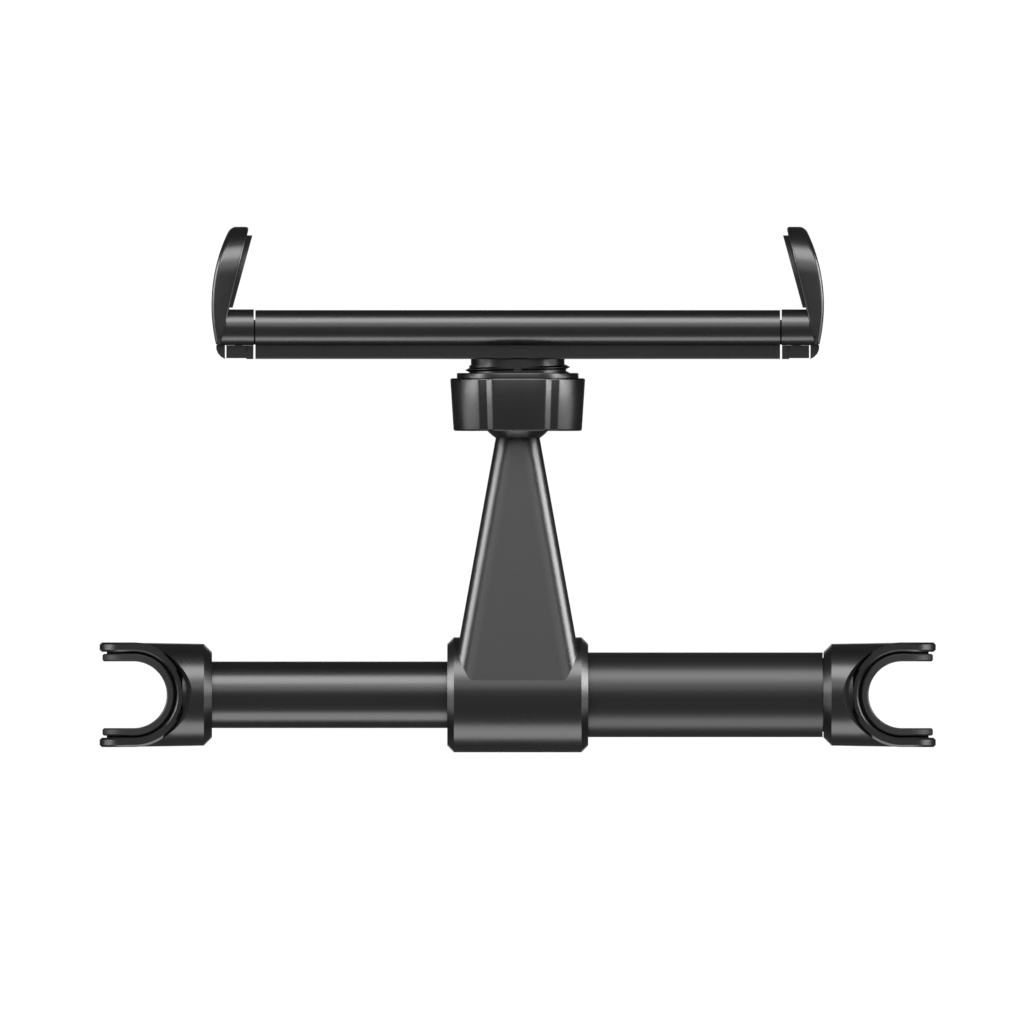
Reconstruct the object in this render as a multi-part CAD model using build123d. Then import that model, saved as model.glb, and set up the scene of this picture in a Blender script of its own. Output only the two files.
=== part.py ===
from build123d import *
import math
import os

# Headrest phone holder, in millimetres. X runs along the bar, Y points to the passenger
# behind the seat and Z up. The origin is the middle of the hub, on the bar's axis.

# Clearances, and how far a cut runs past the face that it opens
RUN = 0.08
SLIDE = 0.15
SEAT = 0.02
CUT = 1.0

# Hub
HUB_OD = 24.2
HUB_HALF = 14.8
HUB_CHAMFER = 1.4

# Bar: a rod slides in a core tube, and a grip turns on the core tube
ROD_OD = 14.0
ROD_WALL = 1.0
CORE_WALL = 0.7
GRIP_WALL = 1.04
ROD_SHOWN = 49.4
GRIP_SHOWN = 49.4
ROD_PAST_HUB = 9.7
CORE_SEAT = 10.0
CORE_SEAT_IN = 12.8
ROD_OUT = 12.0
ROD_STOP_GAP = 5.4

# Guide bush in the hub's mouth
BUSH_WALL = 2.12
BUSH_SET_BACK = 0.4

# Lock: a cam recess in the grip presses a shoe on the rod
CAM_DEPTH = 0.24
CAM_OFFSET = 0.25
CAM_LENGTH = 9.0
SHOE_LENGTH = 7.6
SHOE_ANGLE = 76.0
SHOE_IN_HUB = 6.5

# Guide pin and plug in the rod's inner end
PIN_OD = 3.0
PIN_FROM_END = 6.0
PIN_ROOT_Z = 2.0
PLUG_DEPTH = 9.0
PLUG_FLANGE = 1.0

# Tapered arm and ball, in one moulding with the hub
ARM_REACH = 61.0
ARM_ROOT_Y = 2.6
ARM_ROOT_INSET = 0.9
ARM_ROOT_SUNK = 0.325
ARM_TIP_W = 8.7
ARM_TIP_H = 9.0
ARM_EDGE = 4.2
ARM_IN_BALL = 3.0
BALL_OD = 17.0

# Forks
POST_OD = 14.0
COLLAR_OD = 21.9
COLLAR_END_OD = 21.4
COLLAR_CHAMFER = 1.7
COLLAR_PAST_SHELL = 5.5
ROOT_WALL = 0.7
BAND_HEIGHT = 12.6
BAND_BEVEL = 0.45
SHELL_WALL = 2.0
PRONG_REACH = 7.1
SCOOP_MID_OUT = 0.47
SCOOP_MID_UP = 2.4
SCOOP_TOP_OUT = 2.1

# Fork liners, keyed into the forks by a rib
LINER_WALL = 1.6
LINER_GAP = 0.4
LINER_SHORT = 0.6
LINER_LOW = 0.1
LINER_BEVEL = 0.3
RIB_DEPTH = 0.6
RIB_HEIGHT = 3.0
RIB_SHORT = 1.5

# Set screws
SCREW_OD = 3.0
HEX_OD = 1.7
HEX_DEPTH = 1.6
SCREW_SET_BACK = 0.3

# Ball joint, measured from the ball's centre towards the cradle
LIP_ANGLE = 62.0
LIP_FLARE = 0.32
LIP_DEPTH = 0.57
CLAW_FOOT = 0.42
CLAW_CONE = 1.62
CLAW_CONE_D = 1.4
THREAD_WALL = 2.47
THREAD_DEPTH = 0.85
CLAW_SLOT = 1.9
NECK_UNDERCUT = 1.2
CUP_WALL = 1.05
CUP_ANGLE = 34.0
CUP_ROOM_ANGLE = 55.0
CUP_HOLE = 3.0
RING_TOP = 1.6
NUT_HEIGHT = 11.1
NUT_WALL = 3.12
NUT_TAPER = 0.7
NUT_LIP = 1.1
NUT_MOUTH = 0.3
NUT_EDGE = 0.4
GROOVES = 6
GROOVE_RADIUS = 1.5
GROOVE_DEPTH = 1.2
GROOVE_EDGE = 0.6
SHOULDER_WALL = 1.67
SHOULDER_HEIGHT = 1.1
RUNOUT = 1.6
NECK_HEIGHT = 1.3

# Cradle body
BODY_HALF = 55.1
BODY_HEIGHT = 28.0
COVER_THICK = 2.9
SHELL_DEPTH = 7.4
FRONT_WALL = 1.9
LANE_RIM = 1.1
COVER_EDGE = 0.25
SPIGOT_OD = 14.0
FLANGE_W = 31.0
FLANGE_RIM = 1.8
FLANGE_THICK = 1.0
FLANGE_CORNER = 3.0
FLANGE_SCREW_IN = 3.1
BOSS_OD = 5.2
PAD_END_RIM = 5.1
PAD_SIDE_RIM = 1.3
PAD_THICK = 0.8
PAD_CORNER = 4.0
COVER_SCREW_IN = 6.1
COVER_SCREW_PAST = 8.5
SMALL_SCREW_OD = 2.4
SMALL_HEAD_OD = 4.4
SMALL_HEAD_H = 1.2
HEAD_SET_BACK = 0.1
SCREW_REACH = 4.2

# Rack and pinion
MODULE = 0.8
TEETH = 10
PRESSURE_ANGLE = 25.0
RACK_ADDENDUM = 0.65
PINION_ADDENDUM = 0.75
ROOT_ROOM = 0.12
BACKLASH = 0.1
PINION_BOSS = 1.1
PINION_BOSS_OD = 4.8
AXLE_OD = 2.5
AXLE_IN_SOCKET = 1.8
AXLE_IN_SHELL = 0.5

# Sliders and return springs
TRAVEL_SHORT = 7.1
SLIDER_SHORT = 1.1
SLIDER_ROOM = 0.2
SPRING_OD = 2.9
SPRING_LENGTH = 24.0
SPRING_FROM_END = 3.1
SPRING_TURNS = 12
WIRE = 0.6
SPRING_ROOM = 0.25
SPRING_COVER = 0.2
ANCHOR_THICK = 1.6
TANG = 1.2

# Jaws, measured from the cradle's ends and its front
JAW_GAP = 0.4
JAW_PROUD = 0.15
HOOK_REACH = 17.5
HOOK_ARC_R = 36.0
HOOK_BULGE = 8.9
HOOK_ARC_UP = 1.0
HOOK_BASE = 5.1
HOOK_FOOT_UP = 0.5
HOOK_LEAN = 13.68
HOOK_CORNER = 9.7
HOOK_OUTER_EDGE = 1.1
HOOK_INNER_EDGE = 0.4
HEEL_FACE = 6.05
HEEL_MID = 7.5
JAW_PAD_SHORT = 1.8
JAW_PAD_TOP = 1.2
JAW_PAD_BOTTOM = 0.75
JAW_PAD_SUNK = 0.6
JAW_PAD_RIM = 2.7
JAW_PAD_CORNER = 9.2
CAP_GAP = 0.35
CAP_RISE_W = 1.5
CAP_STEP = 0.2
CAP_LINE = 0.2
CAP_LINE_DEPTH = 1.3
HEAD_LENGTH = 5.4
JAW_SCREW_IN = 3.1
JAW_SCREW_RIM = 3.2
JAW_BOSS_OD = 3.4
JAW_SCREW_OD = 1.8
JAW_HEAD_OD = 3.4
JAW_HEAD_H = 1.2

# Worked out from the sizes above: the bar
ROD_R = ROD_OD / 2
CORE_IN_R = ROD_R + RUN
CORE_R = CORE_IN_R + CORE_WALL
GRIP_IN_R = CORE_R + RUN
GRIP_R = GRIP_IN_R + GRIP_WALL
BUSH_R = CORE_IN_R + BUSH_WALL
CAM_RADIUS = GRIP_IN_R + CAM_DEPTH
LINER_IN_R = POST_OD / 2
LINER_OUT_R = LINER_IN_R + LINER_WALL
SHELL_IN_R = LINER_OUT_R + LINER_GAP
SHELL_OUT_R = SHELL_IN_R + SHELL_WALL
COLLAR_TO_POST = SHELL_OUT_R + COLLAR_PAST_SHELL
SOCKET_DEPTH = COLLAR_TO_POST - SHELL_IN_R - RIB_DEPTH - ROOT_WALL
COLLAR_SCREW_X = SOCKET_DEPTH / 2
BAND_HALF = BAND_HEIGHT / 2
LINER_HEIGHT = BAND_HEIGHT - 2 * LINER_LOW
LINER_REACH = PRONG_REACH - LINER_SHORT
RIB_REACH = PRONG_REACH - RIB_SHORT
LEFT_FACE = -HUB_HALF - ROD_SHOWN
RIGHT_FACE = HUB_HALF + GRIP_SHOWN
CORE_SEAT_X = HUB_HALF - CORE_SEAT_IN
CORE_LEFT = CORE_SEAT_X - CORE_SEAT
CORE_RIGHT = RIGHT_FACE + SOCKET_DEPTH - SEAT
HUB_SCREW_X = CORE_SEAT_X - CORE_SEAT / 2
ROD_END = HUB_HALF + ROD_PAST_HUB
ROD_IN = GRIP_SHOWN - ROD_STOP_GAP
PIN_X = ROD_END - PIN_FROM_END
PIN_TOP_R = CORE_R - RUN
SHOE_X = HUB_HALF - SHOE_IN_HUB
ARM_ROOT_W = 2 * (HUB_HALF - ARM_ROOT_INSET)
ARM_ROOT_H = HUB_OD - 2 * ARM_ROOT_SUNK

# The ball joint
BALL_R = BALL_OD / 2
SOCKET_R = BALL_R + RUN
LIP = math.radians(LIP_ANGLE)
LIP_R = SOCKET_R * math.sin(LIP)
LIP_D = SOCKET_R * math.cos(LIP)
LIP_FACE = LIP_D + LIP_DEPTH
CUP_OUT_R = SOCKET_R + CUP_WALL
CUP_ROOM_R = CUP_OUT_R + RUN
CLAW_FOOT_R = SOCKET_R + CLAW_FOOT
CLAW_CONE_R = SOCKET_R + CLAW_CONE
THREAD_R = SOCKET_R + THREAD_WALL
NUT_BORE_R = THREAD_R + RUN
NUT_TOP_R = NUT_BORE_R + NUT_WALL
NUT_FOOT_R = NUT_TOP_R - NUT_TAPER
SHOULDER_R = NUT_BORE_R + SHOULDER_WALL
NUT_DROP = LIP_FACE + NUT_LIP - RUN
NUT_TOP = NUT_HEIGHT - NUT_DROP
SHOULDER_TOP = NUT_TOP + SHOULDER_HEIGHT
THREAD_TOP = SHOULDER_TOP + RUNOUT

# The cradle
BACK_Y = ARM_REACH + THREAD_TOP + NECK_HEIGHT
SEAM_Y = BACK_Y + COVER_THICK
FRONT_Y = SEAM_Y + SHELL_DEPTH
LANE_Y = FRONT_Y - FRONT_WALL
FLANGE_Y = SEAM_Y - FLANGE_THICK
BODY_TOP = BODY_HEIGHT / 2
COVER_TOP = BODY_TOP - SHELL_DEPTH / 2
LANE_HALF = COVER_TOP - LANE_RIM
FLANGE_H = 2 * (COVER_TOP - FLANGE_RIM)
FLANGE_SCREW_X = FLANGE_W / 2 - FLANGE_SCREW_IN
OUTER_SCREW_X = BODY_HALF - COVER_SCREW_IN
INNER_SCREW_X = FLANGE_W / 2 + COVER_SCREW_PAST
COVER_SCREW_XS = (-OUTER_SCREW_X, -INNER_SCREW_X, INNER_SCREW_X, OUTER_SCREW_X)
FLANGE_SCREW_XS = (-FLANGE_SCREW_X, FLANGE_SCREW_X)
PAD_W = 2 * (BODY_HALF - PAD_END_RIM)
PAD_H = 2 * (COVER_TOP - PAD_SIDE_RIM)
SCREW_TIP_Y = BACK_Y + HEAD_SET_BACK + SMALL_HEAD_H + SCREW_REACH
PITCH = math.pi * MODULE
PITCH_R = MODULE * TEETH / 2
PINION_R = PITCH_R + PINION_ADDENDUM
PINION_ROOT_R = PITCH_R - RACK_ADDENDUM - ROOT_ROOM
RACK_TIP_Z = PITCH_R - RACK_ADDENDUM
RACK_ROOT_Z = PINION_R + ROOT_ROOM
PINION_BACK_Y = SEAM_Y + 2 * SLIDE
PINION_FRONT_Y = LANE_Y - PINION_BOSS - SLIDE
JAW_TRAVEL = BODY_HALF - TRAVEL_SHORT
SLIDER_END = BODY_HALF - SLIDER_SHORT
SLIDER_BACK = LANE_HALF - SLIDER_ROOM
SLIDER_LOW_Y = SEAM_Y + SLIDE
SLIDER_HIGH_Y = LANE_Y - SLIDE
SPRING_R = SPRING_OD / 2
SPRING_END = BODY_HALF - SPRING_FROM_END
SPRING_START = SPRING_END - SPRING_LENGTH
SPRING_Y = SLIDER_LOW_Y + SPRING_ROOM + SPRING_R
SPRING_Z = SLIDER_BACK - SPRING_COVER - SPRING_R
RABBET_Y = SPRING_Y + SPRING_R + SPRING_ROOM
RABBET_Z = SPRING_Z - SPRING_R - SPRING_ROOM

# The jaws
JAW_END = BODY_HALF + JAW_GAP
JAW_FRONT_Y = FRONT_Y + JAW_PROUD
HOOK_TIP_Y = FRONT_Y + HOOK_REACH
HOOK_ARC_X = JAW_END + HOOK_BULGE - HOOK_ARC_R
HOOK_ARC_Y = FRONT_Y + HOOK_ARC_UP
HOOK_FACE_X = JAW_END + HOOK_BASE
HOOK_FACE_Y = FRONT_Y + HOOK_FOOT_UP
LEAN_SLOPE = math.tan(math.radians(HOOK_LEAN))
HEEL_FACE_X = JAW_END + HEEL_FACE
HEEL_MID_X = JAW_END + HEEL_MID
JAW_PAD_TIP_Y = HOOK_TIP_Y - JAW_PAD_SHORT
JAW_PAD_HALF_H = BODY_TOP - JAW_PAD_RIM
CAP_OUTER_X = HEEL_FACE_X - CAP_GAP
CAP_STEP_X = JAW_END + CAP_RISE_W
HEAD_OUTER_X = JAW_END + HEAD_LENGTH
JAW_SCREW_X = JAW_END + JAW_SCREW_IN
JAW_SCREW_Z = LANE_HALF - JAW_SCREW_RIM
CAP_SCREW_Y = BACK_Y + CAP_STEP + HEAD_SET_BACK
JAW_SCREW_PLACES = [(-JAW_SCREW_X, -JAW_SCREW_Z), (-JAW_SCREW_X, JAW_SCREW_Z)]
HALF_TURN = Rot(0, 180, 0)
FACE_ABOUT = Rot(0, 0, 180)


def turned(points, axis):
    """A solid turned about an axis from the corners of half its section."""
    return revolve(make_face(Polyline(*points, close=True)), axis)


def ring_x(start, end, outer, inner):
    """A tube along the bar between two stations."""
    return turned([(start, inner), (end, inner), (end, outer), (start, outer)], Axis.X)


def rod_x(start, end, radius):
    """A solid round bar along the bar's axis."""
    return turned([(start, 0), (end, 0), (end, radius), (start, radius)], Axis.X)


def post_y(x, z, start, end, radius):
    """A round post that points along Y."""
    length = end - start
    return Pos(x, start + length / 2, z) * Rot(90, 0, 0) * Cylinder(radius, length)


def post_z(x, y, start, end, radius):
    """A round post that points along Z."""
    length = end - start
    return Pos(x, y, start + length / 2) * Cylinder(radius, length)


def block(x_range, y_range, z_range):
    """A box between pairs of limits."""
    (x0, x1), (y0, y1), (z0, z1) = x_range, y_range, z_range
    middle = Pos((x0 + x1) / 2, (y0 + y1) / 2, (z0 + z1) / 2)
    return middle * Box(x1 - x0, y1 - y0, z1 - z0)


def tile_y(width, height, corner, start, end):
    """A plate with round corners that faces along Y."""
    plane = Plane(origin=(0, start, 0), x_dir=(1, 0, 0), z_dir=(0, 1, 0))
    return extrude(plane * RectangleRounded(width, height, corner), end - start)


def set_screw(x, seat_r, top_r):
    """A headless screw under the bar, from the tube it holds to just inside the wall."""
    length = top_r - SCREW_SET_BACK
    body = post_z(x, 0, -length, -seat_r - SEAT, SCREW_OD / 2)
    key = Pos(x, 0, -length) * extrude(RegularPolygon(HEX_OD / 2, 6), HEX_DEPTH)
    return body - key


def screw_hole(x, seat_r, top_r):
    """The tapped hole that a set screw stands in."""
    return post_z(x, 0, -top_r - CUT, -seat_r + CORE_WALL / 2, SCREW_OD / 2)


def head_screw_y(x, z, back, shank_r, head_r, head_h, reach):
    """A cap screw that enters from the back: its head, its shank and a cross-free socket."""
    head = post_y(x, z, back, back + head_h, head_r)
    shank = post_y(x, z, back + head_h, back + head_h + reach, shank_r)
    key = RegularPolygon(shank_r * 0.8, 6)
    plane = Plane(origin=(x, back, z), x_dir=(1, 0, 0), z_dir=(0, 1, 0))
    return head + shank - extrude(plane * key, head_h * 0.6)


def hub_arm():
    """Hub, tapered arm and ball, with the bores for the bush, the core tube and the grip."""
    radius = HUB_OD / 2
    low = radius - HUB_CHAMFER
    inner = HUB_HALF - HUB_CHAMFER
    hub = turned(
        [(-HUB_HALF, 0), (-HUB_HALF, low), (-inner, radius),
         (inner, radius), (HUB_HALF, low), (HUB_HALF, 0)],
        Axis.X,
    )
    tip_y = ARM_REACH - BALL_R + ARM_IN_BALL
    root = arm_section(ARM_ROOT_Y, ARM_ROOT_W, ARM_ROOT_H)
    tip = arm_section(tip_y, ARM_TIP_W, ARM_TIP_H)
    body = hub + loft([root, tip], ruled=True) + Pos(0, ARM_REACH, 0) * Sphere(BALL_R)
    body -= rod_x(-HUB_HALF - CUT, CORE_LEFT, BUSH_R)
    body -= rod_x(CORE_LEFT - CUT, CORE_SEAT_X + CUT, CORE_R)
    body -= rod_x(CORE_SEAT_X, HUB_HALF + CUT, GRIP_R + RUN)
    return body - screw_hole(HUB_SCREW_X, CORE_R, radius)


def arm_section(y, width, height):
    """One section of the arm, square to Y."""
    plane = Plane(origin=(0, y, 0), x_dir=(1, 0, 0), z_dir=(0, 1, 0))
    return plane * RectangleRounded(width, height, ARM_EDGE)


def core_tube():
    """Fixed tube with a slot for the guide pin above and a window for the shoe below."""
    tube = ring_x(CORE_LEFT, CORE_RIGHT, CORE_R, CORE_IN_R)
    width = PIN_OD + 2 * SLIDE
    start = PIN_X - ROD_OUT
    length = ROD_OUT + ROD_IN
    slot = SlotCenterToCenter(length, width)
    slot = Pos(start + length / 2, 0, 0) * extrude(slot, CORE_R + CUT)
    return tube - slot - shoe_wedge(SLIDE, CORE_R + CUT)


def shoe_wedge(room, outer):
    """The sector that the lock shoe fills, grown by some room on each side."""
    half = math.radians(SHOE_ANGLE / 2) + room / CORE_R
    length = SHOE_LENGTH + 2 * room
    reach = 3 * outer
    side = (reach * math.sin(half), -reach * math.cos(half))
    wedge = Polyline((0, 0), side, (-side[0], side[1]), close=True)
    plane = Plane.YZ.offset(SHOE_X - length / 2)
    sector = extrude(plane * make_face(wedge), length)
    tube = ring_x(SHOE_X - length, SHOE_X + length, outer, CORE_IN_R - RUN)
    return sector & tube


def lock_shoe():
    """Curved shoe that the cam presses on the rod."""
    outer = CAM_RADIUS - CAM_OFFSET - RUN / 2
    ring = ring_x(SHOE_X - SHOE_LENGTH, SHOE_X + SHOE_LENGTH, outer, ROD_R + RUN / 2)
    return shoe_wedge(0, GRIP_R) & ring


def rod_bush():
    """Plain bush that guides the rod in the hub's mouth."""
    start = -HUB_HALF + BUSH_SET_BACK
    return ring_x(start, CORE_LEFT, BUSH_R - SEAT, CORE_IN_R)


def twist_grip():
    """Thick tube that turns on the core tube, with the cam recess inside its nose."""
    tube = ring_x(CORE_SEAT_X + SLIDE, RIGHT_FACE - SLIDE, GRIP_R, GRIP_IN_R)
    start = SHOE_X - CAM_LENGTH / 2
    cam = Pos(0, 0, CAM_OFFSET) * rod_x(start, start + CAM_LENGTH, CAM_RADIUS)
    return tube - cam


def rod_tube():
    """Thin bright tube that slides, with a hole for its guide pin."""
    start = LEFT_FACE - SOCKET_DEPTH + SEAT
    tube = ring_x(start, ROD_END, ROD_R, ROD_R - ROD_WALL)
    return tube - post_z(PIN_X, 0, 0, ROD_R + CUT, PIN_OD / 2)


def rod_plug():
    """Plug that closes the rod's inner end and holds the guide pin."""
    bore = ROD_R - ROD_WALL - SEAT
    end = ROD_END + PLUG_FLANGE
    plug = rod_x(ROD_END - PLUG_DEPTH, end, bore)
    plug += rod_x(ROD_END, end, ROD_R - SEAT)
    return plug - post_z(PIN_X, 0, PIN_ROOT_Z, ROD_R + CUT, PIN_OD / 2)


def guide_pin():
    """Pin that runs in the core tube's slot, so that the forks stay in line."""
    return post_z(PIN_X, 0, PIN_ROOT_Z, PIN_TOP_R, PIN_OD / 2 - SEAT)


def fork_plan(radius, reach):
    """A half-round root about the post axis, with straight sides out to a reach."""
    root = ThreePointArc((0, radius), (-radius, 0), (0, -radius))
    sides = Polyline((0, -radius), (reach, -radius), (reach, radius), (0, radius))
    return Pos(COLLAR_TO_POST, 0) * make_face([root, sides])


def fork_band(outer, inner, reach, height, bevel):
    """A U-shaped band with fully round prong ends and bevelled rims."""
    half = height / 2
    plan = fork_plan(outer, reach) - fork_plan(inner, reach + CUT)
    band = extrude(plan, half, both=True)
    tip = COLLAR_TO_POST + reach - half
    side = Pos(tip - 2 * outer, 0) * Rectangle(4 * outer, height) + Pos(tip, 0) * Circle(half)
    band &= extrude(Plane.XZ * side, 2 * outer, both=True)
    return chamfer(rim_edges(band), bevel)


def rim_edges(band):
    """The edges that run around a band, without the seams that cross it."""
    def runs_round(edge):
        return edge.geom_type != GeomType.LINE or abs(edge.tangent_at(0.5).X) > 0.9
    return ShapeList(edge for edge in band.edges() if runs_round(edge))


def scoop():
    """The flared hollow over a band, turned about the post axis."""
    floor = BAND_HALF - BAND_BEVEL
    top = (SHELL_OUT_R + SCOOP_TOP_OUT, COLLAR_OD / 2 + CUT)
    middle = (SHELL_OUT_R + SCOOP_MID_OUT, BAND_HALF + SCOOP_MID_UP)
    flare = ThreePointArc((SHELL_OUT_R, floor), middle, top)
    rest = Polyline(top, (0, top[1]), (0, floor), (SHELL_OUT_R, floor))
    face = Plane.XZ * make_face([flare, rest])
    return Pos(COLLAR_TO_POST, 0, 0) * revolve(face, Axis.Z)


def fork(tube_r):
    """One fork with its collar, opening towards +X from a collar face at x = 0."""
    end = COLLAR_END_OD / 2
    collar = turned(
        [(0, 0), (0, end - COLLAR_CHAMFER), (COLLAR_CHAMFER, end),
         (COLLAR_TO_POST, COLLAR_OD / 2), (COLLAR_TO_POST, 0)],
        Axis.X,
    )
    hollow = scoop()
    collar -= hollow
    collar -= mirror(hollow, Plane.XY)
    collar -= extrude(fork_plan(SHELL_IN_R, PRONG_REACH), COLLAR_OD, both=True)
    body = collar + fork_band(SHELL_OUT_R, SHELL_IN_R, PRONG_REACH, BAND_HEIGHT, BAND_BEVEL)
    body -= rod_x(-CUT, SOCKET_DEPTH, tube_r + SEAT)
    groove = fork_plan(SHELL_IN_R + RIB_DEPTH + SEAT, RIB_REACH + SEAT)
    body -= extrude(groove, RIB_HEIGHT / 2 + SEAT, both=True)
    return body - screw_hole(COLLAR_SCREW_X, tube_r, end)


def fork_liner():
    """Rubber liner of one fork, with the rib that keys it."""
    band = fork_band(LINER_OUT_R, LINER_IN_R, LINER_REACH, LINER_HEIGHT, LINER_BEVEL)
    rib = fork_plan(SHELL_IN_R + RIB_DEPTH, RIB_REACH)
    rib -= fork_plan(LINER_OUT_R - RIB_DEPTH, RIB_REACH + CUT)
    return band + extrude(rib, RIB_HEIGHT / 2, both=True)


def claw_cone(room):
    """Corners of the claws' cone, from foot to top, moved out by some room."""
    return [(CLAW_FOOT_R + room, -LIP_FACE), (CLAW_CONE_R + room, -CLAW_CONE_D)]


def sector(radius, angle):
    """A ball sector about the arm's axis, open towards the cradle."""
    a = math.radians(angle)
    b = a / 2
    edge = (radius * math.sin(a), radius * math.cos(a))
    middle = (radius * math.sin(b), radius * math.cos(b))
    arc = ThreePointArc(edge, middle, (0, radius))
    sides = Polyline((0, radius), (0, 0), edge)
    return revolve(make_face([arc, sides]), Axis.Y)


def ball_socket():
    """Collet socket: four claws, thread zone, plain neck, and a flange with two bosses."""
    step = THREAD_TOP - RUNOUT
    root_r = THREAD_R - THREAD_DEPTH
    neck_r = THREAD_R - NECK_UNDERCUT
    top = BACK_Y - ARM_REACH
    foot, cone = claw_cone(0)
    outside = turned(
        [(0, -LIP_FACE), foot, cone, (THREAD_R, -CLAW_CONE_D + SLIDE),
         (THREAD_R, step), (root_r, step), (root_r, THREAD_TOP),
         (neck_r, THREAD_TOP), (neck_r, top), (SPIGOT_OD / 2, top),
         (SPIGOT_OD / 2, top + COVER_THICK), (0, top + COVER_THICK)],
        Axis.Y,
    )
    mouth = turned(
        [(0, -LIP_FACE - CUT), (LIP_R + LIP_FLARE, -LIP_FACE - CUT),
         (LIP_R + LIP_FLARE, -LIP_FACE), (LIP_R, -LIP_D), (0, -LIP_D)],
        Axis.Y,
    )
    body = outside - Sphere(SOCKET_R) - mouth - sector(CUP_ROOM_R, CUP_ROOM_ANGLE)
    half_slot = CLAW_SLOT / 2
    slot = block((-THREAD_R, THREAD_R), (-LIP_FACE - CUT, THREAD_TOP), (-half_slot, half_slot))
    body = body - slot - Rot(0, 90, 0) * slot
    body = Pos(0, ARM_REACH, 0) * body
    body += tile_y(FLANGE_W - 2 * SEAT, FLANGE_H - 2 * SEAT, FLANGE_CORNER, FLANGE_Y + SEAT, SEAM_Y)
    for x in FLANGE_SCREW_XS:
        body += post_y(x, 0, FLANGE_Y + SEAT, LANE_Y - SLIDE, BOSS_OD / 2)
        body -= post_y(x, 0, FLANGE_Y - CUT, SCREW_TIP_Y, SMALL_SCREW_OD / 2)
    return body - post_y(0, 0, SEAM_Y - AXLE_IN_SOCKET, SEAM_Y + CUT, AXLE_OD / 2)


def ball_cup():
    """Friction cup between the ball and the socket's bottom."""
    cup = sector(CUP_OUT_R, CUP_ANGLE) - Sphere(SOCKET_R - RUN / 4)
    cup -= post_y(0, 0, 0, CUP_OUT_R + CUT, CUP_HOLE / 2)
    return Pos(0, ARM_REACH, 0) * cup


def clamp_ring():
    """Wedge ring that the nut pushes up the claws' cone."""
    foot, cone = claw_cone(RUN)
    low = -NUT_DROP + NUT_LIP + RUN
    slope = (cone[0] - foot[0]) / (cone[1] - foot[1])
    low_r = foot[0] + slope * (low - foot[1])
    high_r = foot[0] + slope * (-RING_TOP - foot[1])
    outer = NUT_BORE_R - RUN
    ring = turned([(low_r, low), (outer, low), (outer, -RING_TOP), (high_r, -RING_TOP)], Axis.Y)
    return Pos(0, ARM_REACH, 0) * ring


def nut_envelope():
    """The tapered form that breaks the nut's two outer edges."""
    low = -NUT_DROP
    return turned(
        [(0, low), (NUT_FOOT_R - NUT_EDGE, low), (NUT_FOOT_R, low + NUT_EDGE),
         (NUT_TOP_R, NUT_TOP - NUT_EDGE), (NUT_TOP_R - NUT_EDGE, NUT_TOP), (0, NUT_TOP)],
        Axis.Y,
    )


def clamp_nut():
    """Tapered nut with six lobes between rounded grooves, and a raised shoulder."""
    body = turned(
        [(0, -NUT_DROP), (NUT_FOOT_R, -NUT_DROP), (NUT_TOP_R, NUT_TOP), (0, NUT_TOP)], Axis.Y
    )
    lean = math.degrees(math.atan(NUT_TAPER / NUT_HEIGHT))
    groove_x = NUT_TOP_R - NUT_TAPER / 2 + GROOVE_RADIUS - GROOVE_DEPTH
    groove = Pos(groove_x, NUT_HEIGHT / 2 - NUT_DROP, 0) * Rot(0, 0, -lean) * Rot(90, 0, 0)
    groove = groove * Cylinder(GROOVE_RADIUS, 2 * NUT_HEIGHT)
    for n in range(GROOVES):
        body -= Rot(0, 360 / GROOVES * n, 0) * groove
    long_edges = body.edges().filter_by(lambda e: e.length > 0.9 * NUT_HEIGHT)
    body = fillet(long_edges, GROOVE_EDGE) & nut_envelope()
    seat = -NUT_DROP + NUT_LIP
    mouth_r = CLAW_FOOT_R + NUT_MOUTH
    body += turned([(0, seat), (SHOULDER_R, seat), (SHOULDER_R, SHOULDER_TOP), (0, SHOULDER_TOP)], Axis.Y)
    body -= turned(
        [(0, -NUT_DROP - CUT), (mouth_r, -NUT_DROP - CUT), (mouth_r, seat),
         (NUT_BORE_R, seat), (NUT_BORE_R, SHOULDER_TOP + CUT), (0, SHOULDER_TOP + CUT)],
        Axis.Y,
    )
    return Pos(0, ARM_REACH, 0) * body


def round_edged(x_range, y_range):
    """The cradle's outer form: a slab whose long edges are full rounds, along X."""
    (x0, x1), (y0, y1) = x_range, y_range
    depth = y1 - y0
    plan = SlotOverall(BODY_HEIGHT, depth, rotation=90)
    plane = Plane.YZ.offset(x0)
    return extrude(plane * (Pos(y0 + depth / 2, 0) * plan), x1 - x0)


def flat_back(x_range, y_range, top):
    """A plate under the slab, as high as its flat back."""
    return block(x_range, y_range, (-top, top))


def front_shell():
    """Front moulding of the cradle: a channel for the sliders, with its screw bosses."""
    body = round_edged((-BODY_HALF, BODY_HALF), (SEAM_Y, FRONT_Y))
    body += flat_back((-BODY_HALF, BODY_HALF), (SEAM_Y, SEAM_Y + SHELL_DEPTH / 2), COVER_TOP)
    lane = (-LANE_HALF, LANE_HALF)
    body -= block((-BODY_HALF - CUT, BODY_HALF + CUT), (SEAM_Y - CUT, LANE_Y), lane)
    body -= tile_y(PAD_W, PAD_H, PAD_CORNER, FRONT_Y - PAD_THICK, FRONT_Y + CUT)
    for x in COVER_SCREW_XS:
        body += post_y(x, 0, SEAM_Y + SEAT, LANE_Y, BOSS_OD / 2)
        body -= post_y(x, 0, SEAM_Y, SCREW_TIP_Y, SMALL_SCREW_OD / 2)
    body += post_y(0, 0, LANE_Y - PINION_BOSS, LANE_Y, PINION_BOSS_OD / 2)
    return body - post_y(0, 0, LANE_Y - PINION_BOSS - CUT, LANE_Y + AXLE_IN_SHELL, AXLE_OD / 2)


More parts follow.
